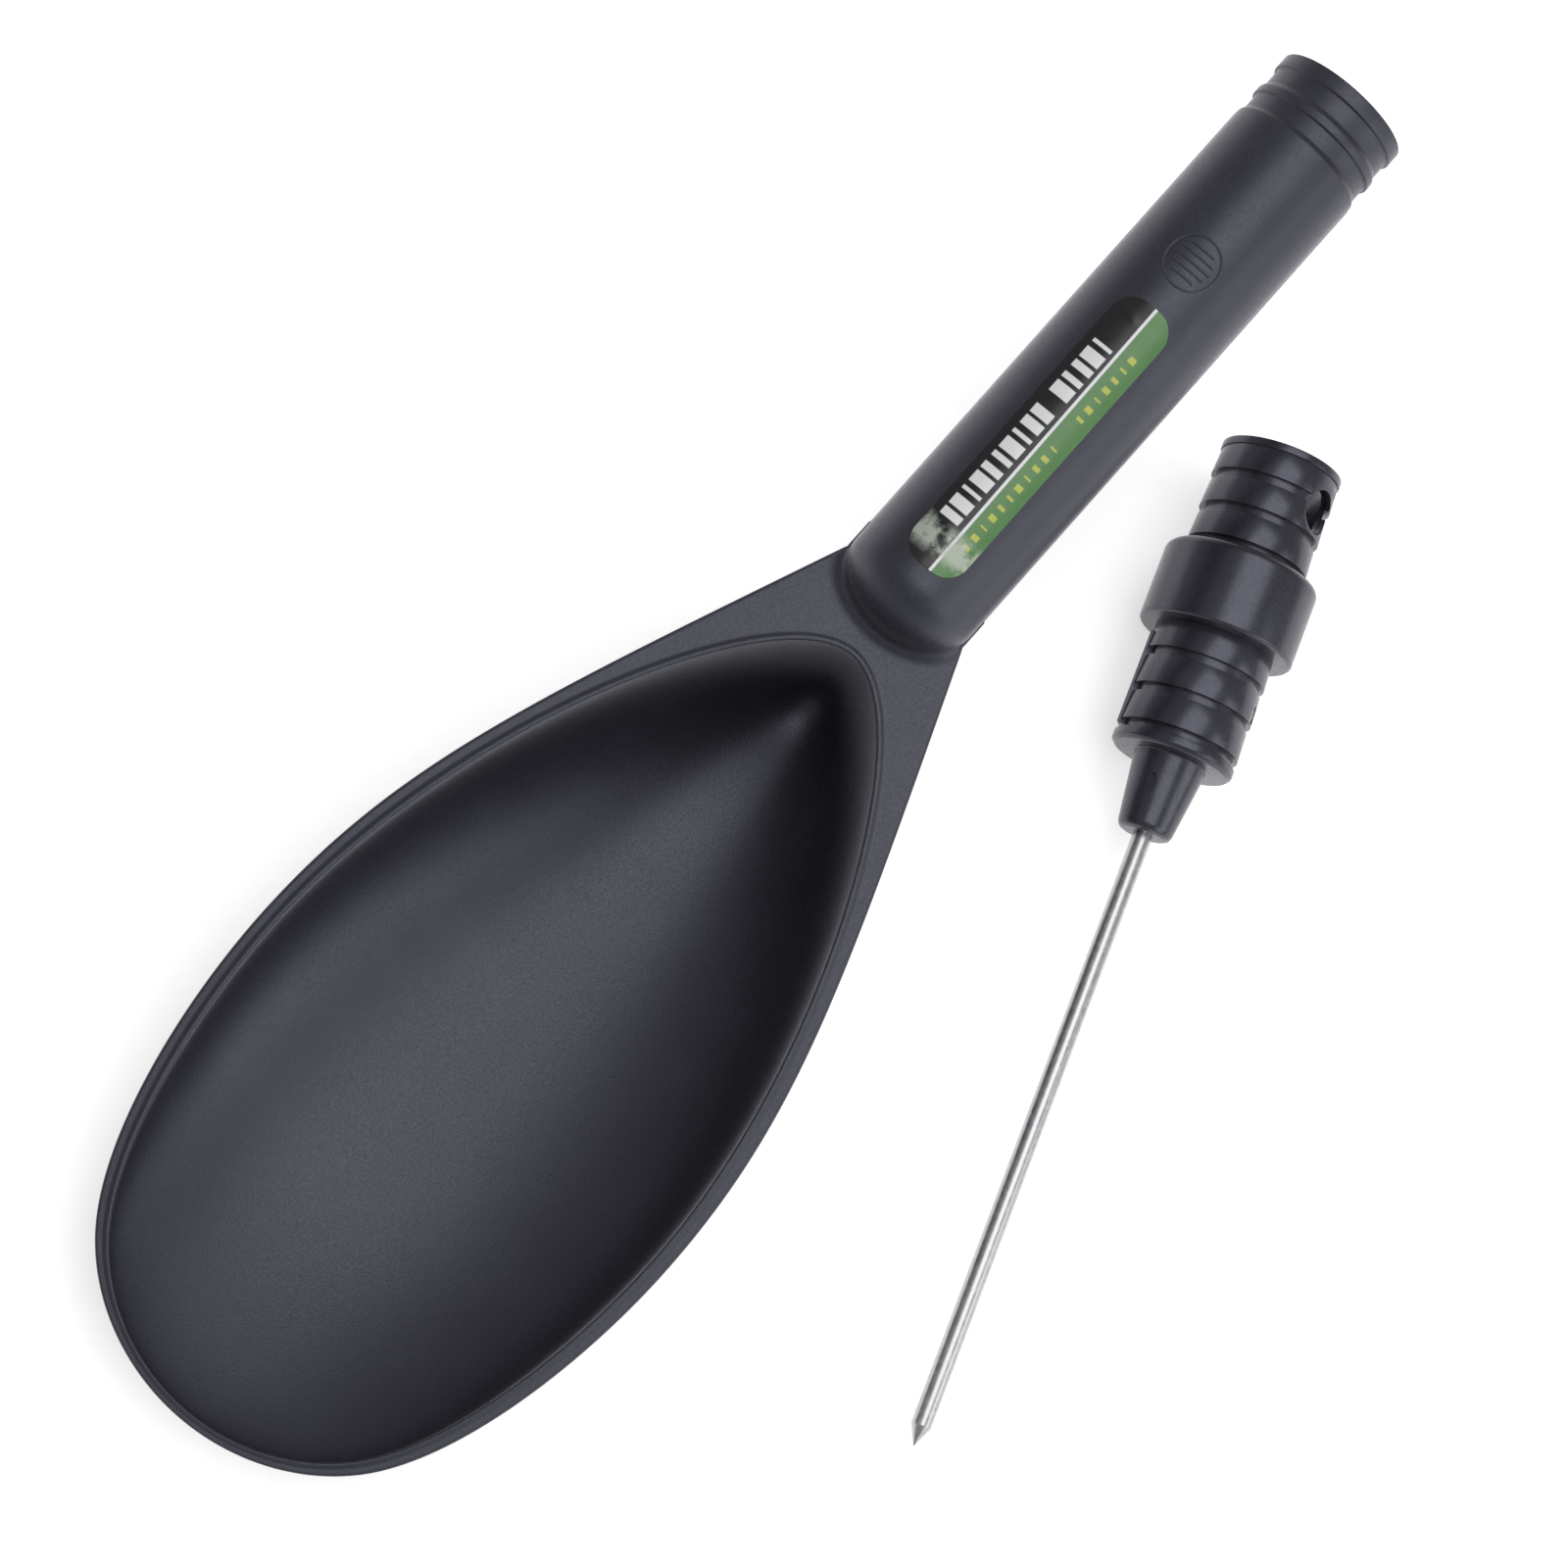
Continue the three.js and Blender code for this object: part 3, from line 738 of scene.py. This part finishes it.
# ---------------------------------------------------------------------------------------------
# The plug: one moulding in polished black plastic, with a hollow ribbed spigot, a wide stop
# collar, a second ribbed spigot and a tapered nose that grips the rod. The ribs are barbs, a
# sharp edge and a shallow taper. Places are along its axis from the collar's lower face.
plug_clearance = 0.2
spigot_radius = bore_radius - plug_clearance
collar_length = 20.4
collar_radius = handle_radius + 2.1
upper_spigot = 28.0
lower_spigot = 31.1
rib_depth = 1.3
rib_groove = 2.1
rib_taper = 0.35
top_lip = 1.9
plug_wall = 1.4
hollow_radius = spigot_radius - rib_depth - plug_wall
hollow_floor = 3.4
hollow_round = 3
collar_round = 2.2
plug_nose = 18.9
nose_root, nose_tip = 9.0, 6.8
side_hole_radius = 5.5
side_hole_from_rim = 11.0
side_hole_turn = math.radians(48)
rod_radius = 2.4
rod_exposed = 153.7
rod_point = 5.0
rod_buried = 17.0

plug_pitch = math.atan2(collar_radius - rod_radius, lower_spigot + plug_nose + rod_exposed - rod_point)
plug_yaw = math.radians(19.8)
collar_place = tip_place + Vector((297.6, -62.0, collar_radius * math.cos(plug_pitch))) * MM
plug_place = (
    Matrix.Translation(collar_place)
    @ Matrix.Rotation(plug_yaw, 4, "Z")
    @ Matrix.Rotation(-plug_pitch, 4, "Y")
    @ Matrix.Scale(MM, 4)
)
plug_top = collar_length + upper_spigot
nose_end = -lower_spigot - plug_nose
plain_band = 3.0
groove_radius = spigot_radius - rib_depth

# the turned core: nose, grooved necks, collar, and the hollow down its middle
core_profile = [
    (nose_end, 0.3),
    (nose_end, nose_tip - 1.6),
    (nose_end + 0.5, nose_tip - 0.5),
    (nose_end + 1.6, nose_tip),
    (-lower_spigot, nose_root),
    (-lower_spigot, spigot_radius - 1),
    (-lower_spigot + 1, spigot_radius),
    (-lower_spigot + plain_band, spigot_radius),
    (-lower_spigot + plain_band, groove_radius),
    (0, groove_radius),
    (0, collar_radius - 0.6),
    (0.6, collar_radius),
    *[
        (collar_length - collar_round * (1 - math.cos(a)), collar_radius - collar_round * (1 - math.sin(a)))
        for a in np.linspace(math.pi / 2, 0, 9)
    ],
    (collar_length, groove_radius),
    (plug_top - top_lip, groove_radius),
    (plug_top - top_lip, spigot_radius),
    (plug_top, spigot_radius),
    (plug_top, hollow_radius),
    (-lower_spigot + hollow_floor + hollow_round, hollow_radius),
    (-lower_spigot + hollow_floor, hollow_radius - hollow_round),
    (-lower_spigot + hollow_floor, 0.3),
]
core = piece("plug_core", *lofted(turned(rounded(core_profile, 0.3), 160)), plug_place, 40)

# the barbed ribs: tapered rings, sharp at the end towards the nose
tree, node, calc = new_tree(
    "barbed_ribs",
    [
        ("Count", "Int"), ("Pitch", "Float"), ("Rib", "Float"), ("Start", "Float"), ("Radius", "Float"),
        ("Taper", "Float"), ("Finish", "Material"),
    ],
)
link = tree.links.new
given = node("NodeGroupInput").outputs
rib = node("GeometryNodeMeshCone")
rib.inputs["Vertices"].default_value = 160
link(calc("SUBTRACT", given["Radius"], given["Taper"]), rib.inputs["Radius Top"])
link(given["Radius"], rib.inputs["Radius Bottom"])
link(given["Rib"], rib.inputs["Depth"])
start, step = node("ShaderNodeCombineXYZ"), node("ShaderNodeCombineXYZ")
link(given["Start"], start.inputs["Z"])
link(given["Pitch"], step.inputs["Z"])
row = node("GeometryNodeMeshLine")
link(given["Count"], row.inputs["Count"])
link(start.outputs[0], row.inputs["Start Location"])
link(step.outputs[0], row.inputs["Offset"])
ribs = node("GeometryNodeInstanceOnPoints")
link(row.outputs[0], ribs.inputs["Points"])
link(rib.outputs["Mesh"], ribs.inputs["Instance"])
realised = node("GeometryNodeRealizeInstances")
link(ribs.outputs[0], realised.inputs[0])
painted = node("GeometryNodeSetMaterial")
link(realised.outputs[0], painted.inputs["Geometry"])
link(given["Finish"], painted.inputs["Material"])
link(painted.outputs[0], node("NodeGroupOutput").inputs[0])

glossy = bpy.data.materials.new("polished_black_plastic")
upright = Matrix.Rotation(math.pi / 2, 4, "Y")  # a tree's +Z is the plug's axis
spans = ((-lower_spigot + plain_band, lower_spigot - plain_band), (collar_length, upper_spigot - top_lip))
barbs = []
for start_at, length in spans:
    pitch = length / 3
    barbs.append(
        grown(
            "barbs", tree, plug_place @ upright,
            Count=3, Pitch=pitch, Rib=pitch - rib_groove, Start=start_at + rib_groove, Radius=spigot_radius,
            Taper=rib_taper, Finish=glossy,
        )
    )
barbs = joined("barbs", barbs)


def drilled(target, *holes):
    """Cuts each hole out of the target, then drops the cutters."""
    bpy.context.view_layer.objects.active = target
    for hole in holes:
        cut = target.modifiers.new("cut", "BOOLEAN")
        cut.operation, cut.object, cut.solver = "DIFFERENCE", hole, "EXACT"
        bpy.ops.object.modifier_apply(modifier="cut")
    for hole in holes:
        bpy.data.objects.remove(hole)


def radial_cutter(along, turn, from_axis, radius, squash=1.0):
    """A drill pointing at the plug's axis, stopping that far from it; squash narrows it sideways."""
    place = (
        plug_place
        @ Matrix.Translation((along, 0, 0))
        @ Matrix.Rotation(turn, 4, "X")
        @ Matrix.Rotation(-math.pi / 2, 4, "Y")
        @ Matrix.Diagonal((1, squash, 1, 1))
    )
    reach_past = 2 * spigot_radius
    profile = [(from_axis, 0.1), (from_axis, radius), (reach_past, radius), (reach_past, 0.1)]
    return piece("cutter", *lofted(turned(profile, 48)), place, 30)


past_hollow, past_top = hollow_radius + 0.7, 99
hollow_profile = [(nose_end, 0.1), (nose_end, past_hollow), (past_top, past_hollow), (past_top, 0.1)]
hollow_cutter = piece("cutter", *lofted(turned(hollow_profile, 160)), plug_place, 30)
side_hole = (plug_top - side_hole_from_rim, side_hole_turn, 1.0, side_hole_radius)
ejector_turn = math.radians(68)
drilled(
    barbs,
    hollow_cutter,
    radial_cutter(*side_hole),
    radial_cutter(-14.2, ejector_turn, spigot_radius - 0.5, 2.3),
    radial_cutter(plug_top - 4.4, ejector_turn, spigot_radius - 0.9, 1.1, 0.55),
)
rib_edges = barbs.modifiers.new("edges", "BEVEL")
rib_edges.width, rib_edges.segments, rib_edges.limit_method = 0.14 * MM, 2, "ANGLE"
rib_edges.angle_limit = math.radians(50)
bpy.context.view_layer.objects.active = barbs
bpy.ops.object.modifier_apply(modifier="edges")
nose_oval = (nose_end + 11, -0.5, 7.4, 2.4, 0.45)
drilled(core, radial_cutter(*side_hole), radial_cutter(*nose_oval))


def flash_line(name, start_at, length, radius, turn, width, height):
    """A thin ridge left along a turned face where the two halves of the mould met."""
    place = plug_place @ Matrix.Rotation(turn, 4, "X")
    corners = [
        (x, k * width / 2, radius + (-0.5 if low else height)) for x in (start_at, start_at + length)
        for k, low in ((-1, True), (1, True), (0.4, False), (-0.4, False))
    ]
    return piece(name, corners, box_sides, place, 20)


seam_turn = math.radians(-32)
seam = [flash_line("seam", 0.7, collar_length - 3.0, collar_radius, seam_turn, 0.3, 0.07)]
for start_at, length in spans:
    pitch = length / 3
    for i in range(3):
        band = start_at + i * pitch + rib_groove + 0.2
        on_band = (pitch - rib_groove - 0.5, spigot_radius - 0.3, seam_turn, 0.3, 0.12)
        seam.append(flash_line("seam", band, *on_band))
fin_turn = math.radians(-86)
seam.append(flash_line("fin", -lower_spigot + 4, lower_spigot - 7, groove_radius, fin_turn, 0.6, 1.9))
for part in (core, barbs):
    part.data.set_sharp_from_angle(angle=math.radians(32))
plug = joined("ribbed_plug", [core, barbs, *seam])

shader, add, link = finish_of(glossy)
flow = noise_in_object(add, link, 45, 3)
dust = noise_in_object(add, link, 900, 3, 0.6)
blacks = [(0.3, (0.020, 0.020, 0.026, 1)), (0.75, (0.031, 0.031, 0.039, 1))]
link(tinted(add, link, flow.outputs["Fac"], blacks), shader.inputs["Base Color"])
link(spread(add, link, dust.outputs["Fac"], 0.35, 0.75, 0.22, 0.36), shader.inputs["Roughness"])
shader.inputs["Specular IOR Level"].default_value = 0.8
ripple = add("ShaderNodeBump", Strength=0.12, Distance=0.0002)
link(flow.outputs["Fac"], ripple.inputs["Height"])
link(ripple.outputs["Normal"], shader.inputs["Normal"])
shader.inputs["Specular Tint"].default_value = (0.82, 0.84, 1.0, 1)
plug.data.materials.clear()
plug.data.materials.append(glossy)
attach(plug, "plug")
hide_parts("plug_moulding")

# ---------------------------------------------------------------------------------------------
# The probe rod: 3/16 in round steel, polished along its length and ground to a point, moulded
# into the plug's nose.
rod_tip = nose_end - rod_exposed
rod_profile = rounded(
    [
        (rod_tip, 0.05),
        (rod_tip + rod_point, rod_radius),
        (nose_end + rod_buried, rod_radius),
        (nose_end + rod_buried, 0.05),
    ],
    0.2,
)
rod = piece("steel_probe", *lofted(turned(rod_profile, 64)), plug_place, 40)
steel = bpy.data.materials.new("polished_steel")
shader, add, link = finish_of(steel)
draw_marks = noise_in_object(add, link, 700, 4, 0.6)
greys = [(0.3, (0.44, 0.44, 0.45, 1)), (0.7, (0.60, 0.60, 0.61, 1))]
link(tinted(add, link, draw_marks.outputs["Fac"], greys), shader.inputs["Base Color"])
shader.inputs["Metallic"].default_value = 1.0
link(spread(add, link, draw_marks.outputs["Fac"], 0.3, 0.7, 0.28, 0.40), shader.inputs["Roughness"])
rod.data.materials.append(steel)
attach(rod, "plug")
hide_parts("probe_rod")

# ---------------------------------------------------------------------------------------------
# The studio: a white sweep under even soft light, seen from high over the scoop's tip.
floor_mesh = bpy.data.meshes.new("studio_floor")
floor_reach, floor_drop = 6, 0.0018
floor_corners = [
    (x * floor_reach, y * floor_reach, -floor_drop) for x, y in ((-1, -1), (1, -1), (1, 1), (-1, 1))
]
floor_mesh.from_pydata(floor_corners, [], [(0, 1, 2, 3)])
floor = bpy.data.objects.new("studio_floor", floor_mesh)
bpy.context.scene.collection.objects.link(floor)
paper = bpy.data.materials.new("white_paper")
shader, add, link = finish_of(paper)
fibre = noise_in_object(add, link, 300, 2)
link(
    tinted(add, link, fibre.outputs["Fac"], [(0.3, (0.93, 0.93, 0.93, 1)), (0.7, (0.96, 0.96, 0.96, 1))]),
    shader.inputs["Base Color"],
)
shader.inputs["Roughness"].default_value = 0.9
shader.inputs["Emission Color"].default_value = (1, 1, 1, 1)
shader.inputs["Emission Strength"].default_value = 0.55
floor.data.materials.append(paper)

world = bpy.data.worlds.new("studio_air")
bpy.context.scene.world = world
world.use_nodes = True
world.node_tree.nodes["Background"].inputs["Color"].default_value = (1, 1, 1, 1)
world.node_tree.nodes["Background"].inputs["Strength"].default_value = 0.30


def softbox(name, place, aim, size, watts):
    lamp = bpy.data.lights.new(name, "AREA")
    lamp.shape, lamp.size, lamp.size_y, lamp.energy = "RECTANGLE", size[0], size[1], watts
    box = bpy.data.objects.new(name, lamp)
    box.location = place
    box.rotation_euler = (Vector(aim) - Vector(place)).to_track_quat("-Z", "Y").to_euler()
    bpy.context.scene.collection.objects.link(box)


softbox("overhead_softbox", (0.2, -0.15, 1.5), (0.2, -0.15, 0), (1.5, 1.1), 10)
softbox("side_softbox", (0.0, -1.3, 0.7), (0, 0, 0), (1.4, 0.8), 6)

view_height = math.radians(73.06)
view_turn = math.radians(2.0)
view_roll = math.radians(39.66)
lens_across_1600 = 4095.7
over_tip = Vector((-0.0723, -0.0169, 0.9130))
into = Vector((math.cos(view_turn), math.sin(view_turn), 0))
ahead = into * math.cos(view_height) - Vector((0, 0, 1)) * math.sin(view_height)
level_up = into * math.sin(view_height) + Vector((0, 0, 1)) * math.cos(view_height)
level_right = ahead.cross(level_up)
up = level_up * math.cos(view_roll) - level_right * math.sin(view_roll)
right = level_right * math.cos(view_roll) + level_up * math.sin(view_roll)
camera = bpy.data.objects.new("camera", bpy.data.cameras.new("camera"))
camera.data.sensor_width = 36
camera.data.lens = 36 * lens_across_1600 / 1600
turned_to_view = Matrix((right, up, -ahead)).transposed().to_4x4()
camera.matrix_world = Matrix.Translation(tip_place + over_tip) @ turned_to_view
bpy.context.scene.collection.objects.link(camera)
bpy.context.scene.camera = camera
bpy.context.scene.view_settings.view_transform = "Standard"
